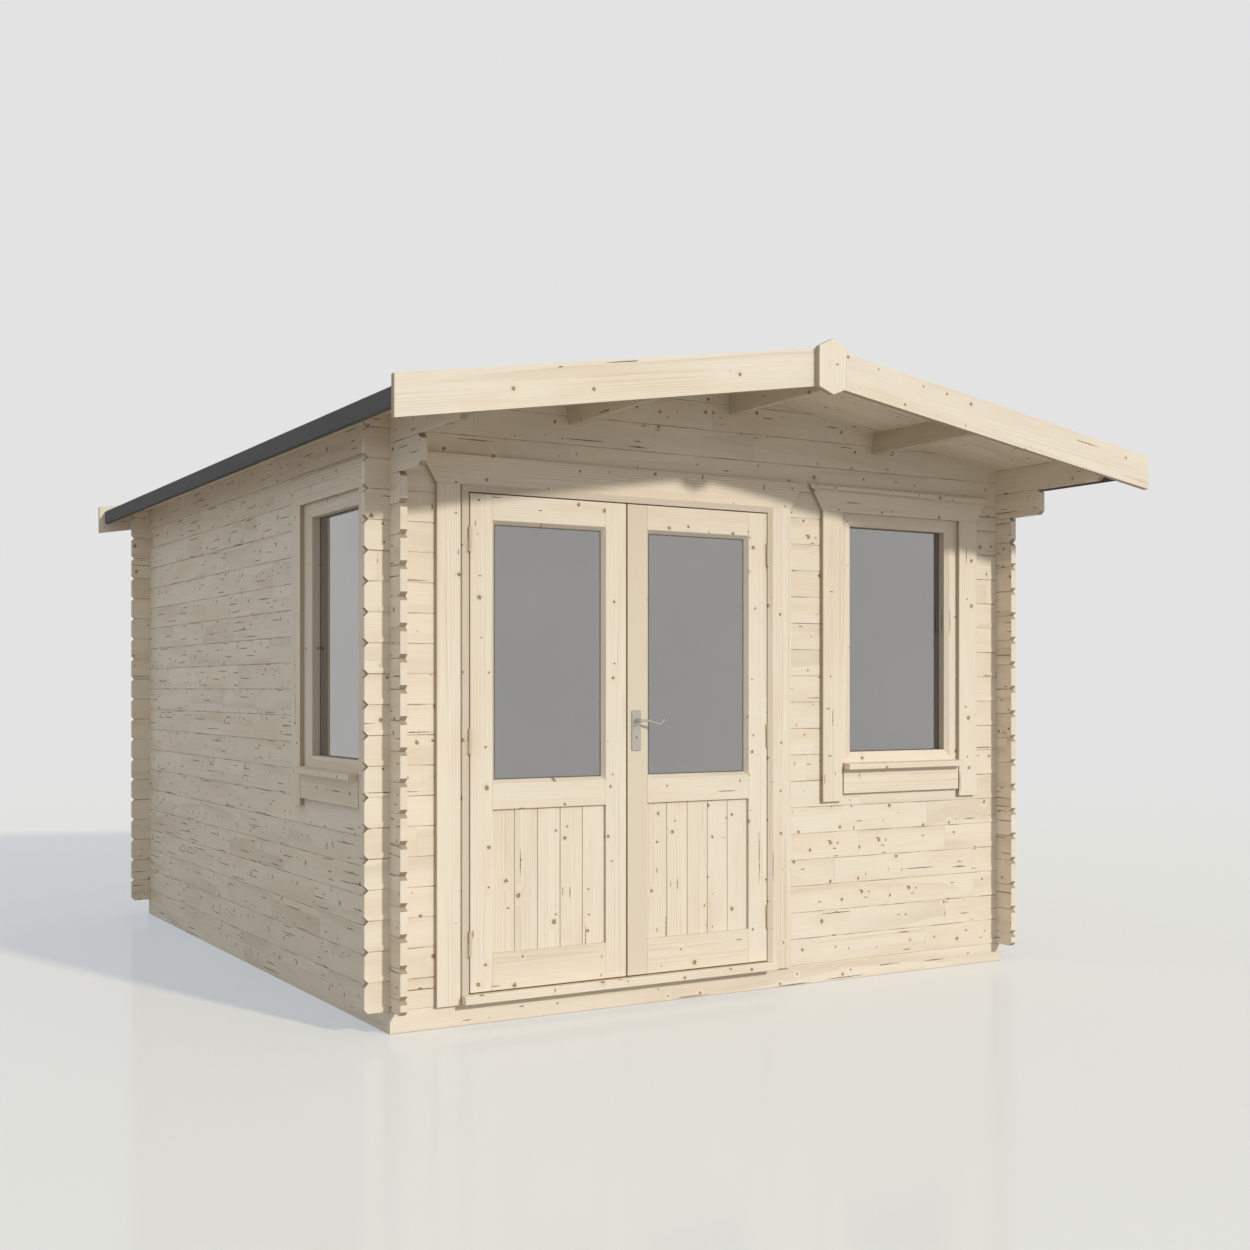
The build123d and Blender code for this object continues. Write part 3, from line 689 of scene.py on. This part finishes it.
def mitred_ring(low, high, width, outward, slope=None, soften=softened_edge):
    """Four mitred strips round the inside of a box. outward is the way their face looks, along X or Y."""
    side = Z.cross(outward)
    size = high - low
    tall = size.z
    wide = abs(size.dot(side))
    depth = abs(size.dot(outward))
    centre = (low + high) / 2
    strips = []
    for along, inward, length, reach in ((side, Z, wide, tall), (-side, -Z, wide, tall),
                                         (Z, -side, tall, wide), (-Z, side, tall, wide)):
        inner = width / 2
        cuts = [(Vector((length / 2 - width, inner, 0)), Vector((1, 1, 0))),
                (Vector((-length / 2 + width, inner, 0)), Vector((-1, 1, 0)))]
        if slope:
            run, drop = slope
            cuts.append((Vector((0, inner, depth / 2 - drop)), Vector((0, drop, run))))
        strip = bench_board(length, width, depth, cuts=cuts, soften=soften)
        middle = centre - inward * (reach / 2 - width / 2)
        strips.append(carry(strip, middle, along, outward))
    return strips


for label in ("left", "right"):
    strips = []
    boxes = separate_boxes(label + "_door_beads")
    for (low, high), outward in zip(sorted(boxes, key=lambda box: box[0].y), (-Y, Y)):
        depth = high.y - low.y
        strips += mitred_ring(low, high, bead_w, outward, slope=(bead_w, depth - bead_face), soften=0.0006)
    assemble(label + "_door_bead_strips", strips, label + "_door", joinery_wood, "joinery_wood",
             label + "_door_beads")


# %% [markdown]
# Between bead and glass lies a soft dark seal, which draws a line round every pane. It is a mitred ring too,
# on each face of the glass. Its rubber has a faint bloom of dust.

# %% Glazing seals
seal_w = 0.004
seal_t = 0.001

rubber, tree, shader = new_material("seal_rubber")
dust = noise(tree, object_place(tree), 90.0, 3.0)
feed(tree, shader, {"Base Color": mix_colour(tree, dust, (0.085, 0.072, 0.058, 1), (0.17, 0.145, 0.12, 1)),
                    "Roughness": smooth_step(tree, dust, 0.3, 0.7, 0.55, 0.8)})


def seals_on(pane_low, pane_high, opening_low, opening_high, ways):
    """Rings of seal on the faces of a pane, just inside its opening."""
    rings = []
    for outward in ways:
        face = pane_high if outward.x + outward.y > 0 else pane_low
        low = opening_low.copy()
        high = opening_high.copy()
        depth = 0 if outward.x else 1
        low[depth] = face[depth] + min(0, outward[depth]) * seal_t
        high[depth] = face[depth] + max(0, outward[depth]) * seal_t
        rings += mitred_ring(low, high, seal_w, outward, soften=0.0005)
    return rings


for label in ("left", "right"):
    pane_low, pane_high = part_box(label + "_door_glass")
    low, high = separate_boxes(label + "_door_beads")[0]
    inset = Vector((bead_w, 0, bead_w))
    strips = seals_on(pane_low, pane_high, low + inset, high - inset, (-Y, Y))
    assemble(label + "_door_seals", strips, label + "_door", rubber, "roofing_felt")


# %% [markdown]
# The window frames are mitred rings as well, wider and with a shallow slope towards the glass. Their panes
# have seals on both faces.

# %% Window frames
frame_band = 0.073
frame_slope = (0.020, 0.012)
frame_boxes = separate_boxes("window_frames")

members = []
for low, high in frame_boxes:
    members += mitred_ring(low, high, frame_band, outside(low, high), slope=frame_slope)
assemble("window_frame_members", members, "cabin", joinery_wood, "joinery_wood", "window_frames")

strips = []
for (low, high), pane in zip(frame_boxes, separate_boxes("window_panes")):
    outward = outside(low, high)
    inset = frame_band * Vector((abs(outward.y), abs(outward.x), 1))
    strips += seals_on(*pane, low + inset, high - inset, (outward, -outward))
assemble("window_seals", strips, "cabin", rubber, "roofing_felt")

# %% [markdown]
# The boards over the door and the windows are wider at the top. Two slanting saw cuts make that shape.

# %% Headers
header_slant = 0.072


def header_board(low, high, outward):
    """A board whose ends slant out towards its top."""
    side = Z.cross(outward)
    size = high - low
    half = abs(size.dot(side)) / 2
    tall = size.z
    cuts = [(Vector((half, tall / 2, 0)), Vector((tall, -header_slant, 0))),
            (Vector((-half, tall / 2, 0)), Vector((-tall, -header_slant, 0)))]
    piece = bench_board(2 * half, tall, abs(size.dot(outward)), cuts=cuts)
    return carry(piece, (low + high) / 2, side, outward)


low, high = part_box("door_header")
assemble("door_header_board", [header_board(low, high, -Y)], "cabin", header_wood, "trim_wood", "door_header")
boards = [header_board(low, high, outside(low, high)) for low, high in separate_boxes("window_headers")]
assemble("window_header_boards", boards, "cabin", header_wood, "trim_wood", "window_headers")

# %% [markdown]
# Inside, plain boards cover the joint between frame and logs. The door has three, because its foot is open.

# %% Inner casings
casing_w = 0.060

pieces = []
for low, high in separate_boxes("window_casings"):
    pieces += mitred_ring(low, high, casing_w, -outside(low, high))
assemble("window_casing_boards", pieces, "cabin", trim_wood, "trim_wood", "window_casings")
low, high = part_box("door_casing")
pieces = [board_between(low, (low.x + casing_w, high.y, high.z - casing_w), Z, Y),
          board_between((high.x - casing_w, low.y, low.z), (high.x, high.y, high.z - casing_w), Z, Y),
          board_between((low.x, low.y, high.z - casing_w), high, X, Y)]
assemble("door_casing_boards", pieces, "cabin", trim_wood, "trim_wood", "door_casing")

# %% [markdown]
# The roof is boarded from ridge to eaves. One board is made and copied along the roof, each copy with its own
# mesh and its own grain. Its long edges are bevelled, so that the underside shows V joints. Both ends are
# sawn upright, while the board itself lies on the slope.

# %% Roof boards
roof_slope = 0.1584
slope_angle = math.atan(roof_slope)
roof_board_t = 0.022
roof_boards = 45
roof_gap = 0.0014
saw_waste = 0.02


def copy_of(piece):
    """Another of the same piece, with its own mesh."""
    twin = piece.copy()
    twin.data = piece.data.copy()
    bpy.context.scene.collection.objects.link(twin)
    return twin


def upright_cuts(run, across, lift):
    """Saw cuts that are upright once the board lies on the slope, run apart along the board."""
    rise = math.sin(slope_angle)
    normal = Vector((math.cos(slope_angle), across * rise, lift * rise))
    return [(Vector((run / 2, 0, 0)), normal), (Vector((-run / 2, 0, 0)), -normal)]


def slope_ways(side):
    """The ways down the left (-1) or right (1) slope and square to it."""
    down = Vector((side * math.cos(slope_angle), 0, -math.sin(slope_angle)))
    up = Vector((side * math.sin(slope_angle), 0, math.cos(slope_angle)))
    return down, up


for label, side in (("left", -1), ("right", 1)):
    low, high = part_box("roof_boards_" + label)
    width = (high.y - low.y) / roof_boards
    run = (high.x - low.x) / math.cos(slope_angle)
    down, up = slope_ways(side)
    thickness = roof_board_t * math.cos(slope_angle)
    first = bench_board(run + saw_waste, width - roof_gap, thickness, cuts=upright_cuts(run, 0, 1),
                        soften=0.0025)
    rows = [first] + [copy_of(first) for i in range(roof_boards - 1)]
    middle_x = (low.x + high.x) / 2
    middle_z = (low.z + high.z) / 2
    for i, piece in enumerate(rows):
        write_grain(piece)
        carry(piece, Vector((middle_x, low.y + (i + 0.5) * width, middle_z)), down, up)
    assemble("roof_boards_" + label + "_row", rows, "cabin", roof_wood, "roof_wood", "roof_boards_" + label)


# %% [markdown]
# The roofing felt is bitumen with a face of crushed slate: dark grey, quite matte, and rough at the scale of
# a grain of sand. Two noises give the mineral speckle and slow weathering.

# %% Roofing felt
felt, tree, shader = new_material("mineral_felt")
felt_place = object_place(tree)
speckle = noise(tree, felt_place, 420.0, 2.0)
weather = noise(tree, felt_place, 2.2, 4.0)
mineral = mix_colour(tree, smooth_step(tree, speckle, 0.35, 0.65),
                     (0.078, 0.079, 0.077, 1), (0.158, 0.159, 0.154, 1))
weathered = mix_colour(tree, smooth_step(tree, weather, 0.3, 0.7, 0.0, 0.35), mineral,
                       (0.145, 0.144, 0.14, 1))
feed(tree, shader, {"Base Color": weathered, "Roughness": smooth_step(tree, speckle, 0.3, 0.7, 0.98, 0.86),
                    "Normal": bump(tree, speckle, 0.0012, 0.7), "Specular IOR Level": 0.25})
print("felt mixed")

# %% [markdown]
# Felt comes in rolls a metre wide. The lowest strip on each slope turns down over the fascia, the next laps
# over it, and a capping goes over the ridge. In section a strip is a row of short straight runs, so it starts
# as a plane as long as the roof, and its edge is extruded from one run to the next. Bisecting it across and
# moving its points a fraction of a millimetre keeps it from looking ruled, and Solidify gives the thickness.

# %% Felt strips
felt_sheet = 0.0018
felt_layer = 0.0022
ridge_lift = 0.0008
felt_bays = 26
first_lap = 0.86
lap = 0.075
lap_step = 0.004
cap_half = 0.30

felt_low, felt_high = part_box("roof_felt")
eave_x = felt_high.x - 0.001
roof_ends = (felt_low.y, felt_high.y)
roof_long = roof_ends[1] - roof_ends[0]


def on_felt(side, x, layer=0):
    """A point of a section, on a layer of felt over the roof boards."""
    return side * x, felt_high.z - 0.004 + ridge_lift + layer * felt_layer - abs(x) * roof_slope


def choose(piece, kind, parts, wanted):
    """Go into edit mode with only the points or faces selected that pass a test."""
    bpy.ops.object.mode_set(mode="EDIT")
    bpy.ops.mesh.select_mode(type=kind)
    bpy.ops.mesh.select_all(action="DESELECT")
    bpy.ops.object.mode_set(mode="OBJECT")
    for part in getattr(piece.data, parts):
        part.select = wanted(part)
    bpy.ops.object.mode_set(mode="EDIT")


def felt_strip(run, seed):
    """A strip of felt along the roof through the points of its section, given as (x, z)."""
    (x0, z0), (x1, z1) = run[:2]
    middle_y = sum(roof_ends) / 2
    bpy.ops.object.select_all(action="DESELECT")
    bpy.ops.mesh.primitive_plane_add(size=1, location=((x0 + x1) / 2, middle_y, (z0 + z1) / 2),
                                     rotation=(0, math.atan2(z0 - z1, x1 - x0), 0))
    strip = bpy.context.object
    strip.scale = (math.hypot(x1 - x0, z1 - z0), roof_long, 1)
    bpy.ops.object.transform_apply(location=True, rotation=True, scale=True)
    for (xa, za), (xb, zb) in zip(run[1:], run[2:]):
        choose(strip, "VERT", "vertices", lambda end: math.hypot(end.co.x - xa, end.co.z - za) < 0.0003)
        bpy.ops.mesh.extrude_region_move(TRANSFORM_OT_translate={"value": (xb - xa, 0, zb - za)})
        bpy.ops.object.mode_set(mode="OBJECT")
    for i in range(1, felt_bays):
        y = roof_ends[0] + roof_long * i / felt_bays
        mesh_operator(strip, bpy.ops.mesh.bisect, plane_co=(0, y, 0), plane_no=(0, 1, 0))
    mesh_operator(strip, bpy.ops.transform.vertex_random, offset=0.0005, seed=seed)
    sheet = strip.modifiers.new("sheet", "SOLIDIFY")
    sheet.thickness = felt_sheet
    sheet.offset = 0
    bpy.ops.object.modifier_apply(modifier=sheet.name)
    mesh_operator(strip, bpy.ops.mesh.normals_make_consistent)
    return strip


strips = []
for side in (-1, 1):
    lower = [(side * eave_x, felt_low.z + 0.001), (side * eave_x, on_felt(side, eave_x)[1] - 0.001)]
    lower += [on_felt(side, x) for x in (eave_x - 0.003, 1.30, first_lap)]
    upper = [on_felt(side, x, 1) for x in (first_lap + lap, first_lap - lap_step)]
    upper += [on_felt(side, x) for x in (first_lap - 0.03, 0.45, 0.03)]
    strips += [felt_strip(lower, 3 + side), felt_strip(upper, 7 + side)]
cap = [on_felt(1, x, 1) for x in (-cap_half, -cap_half / 2, -lap_step, lap_step, cap_half / 2, cap_half)]
strips.append(felt_strip(cap, 11))
assemble("roof_felt_strips", strips, "cabin", felt, "roofing_felt", "roof_felt")

# %% [markdown]
# Clout nails hold the felt along its laps, with wide flat heads. One head is a short cylinder whose top is
# inset and raised a little. It is copied along each row, not quite in line.

# %% Clout nails
nail_step = 0.15
nail_r = 0.0050
head_t = 0.003
dish = 0.0005
astray_along = 0.008
astray_across = 0.003

zinc, tree, shader = new_material("nail_zinc")
bloom = noise(tree, object_place(tree), 260.0, 2.0)
feed(tree, shader, {"Base Color": mix_colour(tree, bloom, (0.40, 0.41, 0.42, 1), (0.62, 0.63, 0.64, 1)),
                    "Roughness": smooth_step(tree, bloom, 0.3, 0.7, 0.38, 0.62), "Metallic": 1.0})


def nail_head():
    """A clout nail's head and a little of its shank, upright at the origin."""
    bpy.ops.object.select_all(action="DESELECT")
    bpy.ops.mesh.primitive_cylinder_add(vertices=12, radius=nail_r, depth=head_t, location=(0, 0, -dish))
    nail = bpy.context.object
    bpy.ops.object.transform_apply(location=True, rotation=True, scale=True)
    choose(nail, "FACE", "polygons", lambda face: face.normal.z > 0.9)
    bpy.ops.mesh.inset(thickness=0.0018)
    bpy.ops.transform.translate(value=(0, 0, dish))
    bpy.ops.object.mode_set(mode="OBJECT")
    return nail


def turned(piece, centre, up):
    """Stand a piece on a slope."""
    turn = Z.rotation_difference(up).to_matrix().to_4x4()
    piece.data.transform(Matrix.Translation(centre) @ turn)
    return piece


model_nail = nail_head()
nails = []
for side in (-1, 1):
    up = Vector((side * roof_slope, 0, 1)).normalized()
    count = int(roof_long / nail_step)
    for from_ridge in (first_lap + lap - 0.02, cap_half - 0.03):
        x, z = on_felt(side, from_ridge, 1)
        for i in range(count):
            y = roof_ends[0] + (i + 0.5) * roof_long / count + chance.uniform(-astray_along, astray_along)
            spot = Vector((x + chance.uniform(-astray_across, astray_across), y, z + 0.0012))
            nails.append(turned(copy_of(model_nail), spot, up))
bpy.data.objects.remove(model_nail)
assemble("felt_nails", nails, "cabin", zinc, "satin_nickel")

# %% [markdown]
# A fascia stands under each eave, wrapped in felt. Bargeboards run up the slope at front and rear and meet
# at the ridge, where a pointed finial board covers their joint.

# %% Fascias, bargeboards and finials
boards_for("eave_fascias", "cabin", felt, "roofing_felt")
barge_h = 0.147
barge_waste = 0.06

pieces = []
for low, high in separate_boxes("bargeboards"):
    side = 1 if low.x + high.x > 0 else -1
    run = (high.x - low.x) / math.cos(slope_angle)
    outward = -Y if low.y < 0 else Y
    down, up = slope_ways(side)
    cuts = upright_cuts(run, outward.cross(down).dot(up), 0)
    piece = bench_board(run + barge_waste, barge_h * math.cos(slope_angle), high.y - low.y, cuts=cuts)
    pieces.append(carry(piece, (low + high) / 2, down, outward))
assemble("bargeboard_boards", pieces, "cabin", trim_wood, "trim_wood", "bargeboards")

finial_top = 0.034
finial_foot = 0.026
pieces = []
for low, high in separate_boxes("finials"):
    tall = high.z - low.z
    half = (high.x - low.x) / 2
    front = -Y if low.y < 0 else Y
    cuts = []
    for way in (1, -1):
        cuts.append((Vector((tall / 2, 0, 0)), Vector((half, way * finial_top, 0))))
        cuts.append((Vector((-tall / 2, 0, 0)), Vector((-half, way * finial_foot, 0))))
    pieces.append(carry(bench_board(tall, 2 * half, high.y - low.y, cuts=cuts), (low + high) / 2, Z, front))
assemble("finial_boards", pieces, "cabin", trim_wood, "trim_wood", "finials")

# %% [markdown]
# Floor boards run across the cabin, side by side, with bevelled edges.

# %% Floor boards
floor_rows = 40

low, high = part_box("floor_boards")
width = (high.y - low.y) / floor_rows
first = bench_board(high.x - low.x, width, high.z - low.z, soften=0.002)
rows = [first] + [copy_of(first) for i in range(floor_rows - 1)]
for i, piece in enumerate(rows):
    write_grain(piece)
    centre = Vector(((low.x + high.x) / 2, low.y + (i + 0.5) * width, (low.z + high.z) / 2))
    carry(piece, centre, X, Z)
assemble("floor_board_rows", rows, "cabin", floor_wood, "floor_wood", "floor_boards")

# %% [markdown]
# The glass of this cabin reads as flat grey: it mirrors the pale surroundings weakly and lets little through.
# That is a tinted mirror with some clear glass mixed in. It mirrors more the flatter it is looked at, so the
# tint lightens with Layer Weight's Facing. Metallic and Transmission Weight are plain numbers.

# %% Glass
glass, tree, shader = new_material("tinted_glass")
haze = noise(tree, object_place(tree), 2.0, 3.0)
facing = add_node(tree, "LayerWeight", {"Blend": 0.5}).outputs["Facing"]
tint = mix_colour(tree, facing, (0.478, 0.475, 0.462, 1), (0.60, 0.595, 0.59, 1))
haze_tone = smooth_step(tree, haze, 0.3, 0.7, 0.98, 1.02)
feed(tree, shader, {"Base Color": mix_colour(tree, 1.0, tint, haze_tone, "MULTIPLY"),
                    "Roughness": smooth_step(tree, haze, 0.3, 0.7, 0.02, 0.045),
                    "Metallic": 0.7, "Transmission Weight": 1.0})
dress(glass, "left_door_glass", "right_door_glass", "window_panes")
print("glass dressed")

# %% [markdown]
# Plates and lever are satin nickel, and the hinges are yellow zinc: metals whose fine brushing shows as small
# changes in colour and roughness. One group makes the brushing, and each metal has its own colours.

# %% Satin metals
brushing, brush_at, brush_out = new_group("brushing", [("Place", "Vector", None)],
                                          [("Stroke", "Float"), ("Roughness", "Float")])
stroke = noise(brushing, vector_calc(brushing, "MULTIPLY", brush_at["Place"], (900.0, 900.0, 60.0)), 1.0, 2.0)
feed(brushing, brush_out, {"Stroke": stroke,
                           "Roughness": smooth_step(brushing, stroke, 0.2, 0.8, 0.28, 0.42)})


def satin_metal(name, dark, light, metallic):
    """A brushed metal between two colours."""
    material, tree, shader = new_material(name)
    brushed = add_node(tree, "Group", {"Place": object_place(tree)}, node_tree=brushing).outputs
    feed(tree, shader, {"Base Color": mix_colour(tree, brushed["Stroke"], dark, light), "Metallic": metallic,
                        "Roughness": brushed["Roughness"],
                        "Normal": bump(tree, brushed["Stroke"], 0.0001, 0.3)})
    return material


nickel = satin_metal("satin_nickel", (0.46, 0.43, 0.375, 1), (0.70, 0.66, 0.59, 1), 0.7)
yellow_zinc = satin_metal("yellow_zinc", (0.66, 0.57, 0.42, 1), (0.86, 0.76, 0.58, 1), 0.55)
dress(nickel, "handle_plates", "handle_lever")
dress(yellow_zinc, "frame_hinge_halves", "left_door_hinge_halves", "right_door_hinge_halves")
print("metals dressed")

# %% [markdown]
# Outdoor light is one warm sun and a large pale sky. Their strengths add up to about one on the sunlit front
# wall, so a colour there renders about as it is written, and the shaded side keeps a little under half of it.
# Gloss doesn't mirror the sun's own disc, which would glare on the floor in views from behind.

# %% Sun and sky
sun_travel = Vector((-0.31, 1.0, -0.475))
sun_strength = 2.08
sun_softness = 3.5
sky_colour = (0.935, 0.965, 1.015, 1)
sky_strength = 0.60
backdrop_grey = (0.768, 0.768, 0.768, 1)

bpy.ops.object.light_add(type="SUN", location=(4, -8, 6))
sun = bpy.context.object
sun.name = "sun"
sun.data.energy = sun_strength
sun.data.angle = math.radians(sun_softness)
sun.data.color = (1.0, 0.965, 0.90)
sun.visible_glossy = False
sun.rotation_euler = sun_travel.to_track_quat("-Z", "Y").to_euler()

world = bpy.data.worlds.new("sky")
bpy.context.scene.world = world
world.use_nodes = True
tree = world.node_tree
sky = tree.nodes["Background"]
feed(tree, sky, {"Color": sky_colour, "Strength": sky_strength})
shown = add_node(tree, "Background", {"Color": backdrop_grey, "Strength": 1.0})


def looking_rays(tree):
    """1 for rays that look, straight or by way of metal or glass, and 0 for rays that light a surface."""
    rays = add_node(tree, "LightPath")
    straight = calc(tree, "MAXIMUM", rays.outputs["Is Camera Ray"], rays.outputs["Is Transmission Ray"])
    return calc(tree, "MAXIMUM", straight, rays.outputs["Is Glossy Ray"])


sky_mix = add_node(tree, "MixShader", {0: looking_rays(tree), 1: sky.outputs[0], 2: shown.outputs[0]})
tree.links.new(sky_mix.outputs[0], tree.nodes["World Output"].inputs["Surface"])
bpy.context.scene.view_settings.view_transform = "Standard"
print("sun", sun_strength, "sky", sky_strength)

# %% [markdown]
# The studio floor is pale and slightly glossy. For rays that look at it, part of its brightness is its own
# and the rest is diffuse, so that it keeps a soft, cool shadow of the cabin. Far out it turns into the colour
# of the backdrop, and no horizon shows.

# %% Floor
near_floor = 5.0
far_floor = 16.0

bpy.ops.object.select_all(action="DESELECT")
bpy.ops.mesh.primitive_plane_add(size=200, location=(0, 0, 0))
floor = bpy.context.object
floor.name = "studio_floor"
ground, tree, shader = new_material("studio_floor")
tree.nodes.remove(shader)
bounce = add_node(tree, "BsdfDiffuse", {"Color": (0.44, 0.425, 0.42, 1)})
shade = add_node(tree, "BsdfDiffuse", {"Color": (0.638, 0.559, 0.38, 1)})
glow = add_node(tree, "Emission", {"Color": (0.229, 0.29, 0.396, 1), "Strength": 1.0})
gloss = add_node(tree, "BsdfGlossy", {"Color": (1, 1, 1, 1), "Roughness": 0.12})
own = add_node(tree, "AddShader", {0: shade.outputs[0], 1: glow.outputs[0]})
polished = add_node(tree, "MixShader", {0: 0.08, 1: own.outputs[0], 2: gloss.outputs[0]})
distant = add_node(tree, "Emission", {"Color": backdrop_grey, "Strength": 1.0})
reach = add_node(tree, "VectorMath", {0: object_place(tree)}, operation="LENGTH")
fade = smooth_step(tree, reach.outputs["Value"], near_floor, far_floor)
seen = add_node(tree, "MixShader", {0: fade, 1: polished.outputs[0], 2: distant.outputs[0]})
floor_mix = add_node(tree, "MixShader", {0: looking_rays(tree), 1: bounce.outputs[0], 2: seen.outputs[0]})
tree.links.new(floor_mix.outputs[0], tree.nodes["Material Output"].inputs["Surface"])
floor.data.materials.append(ground)
print("floor fades into the backdrop from", near_floor, "to", far_floor, "m out")
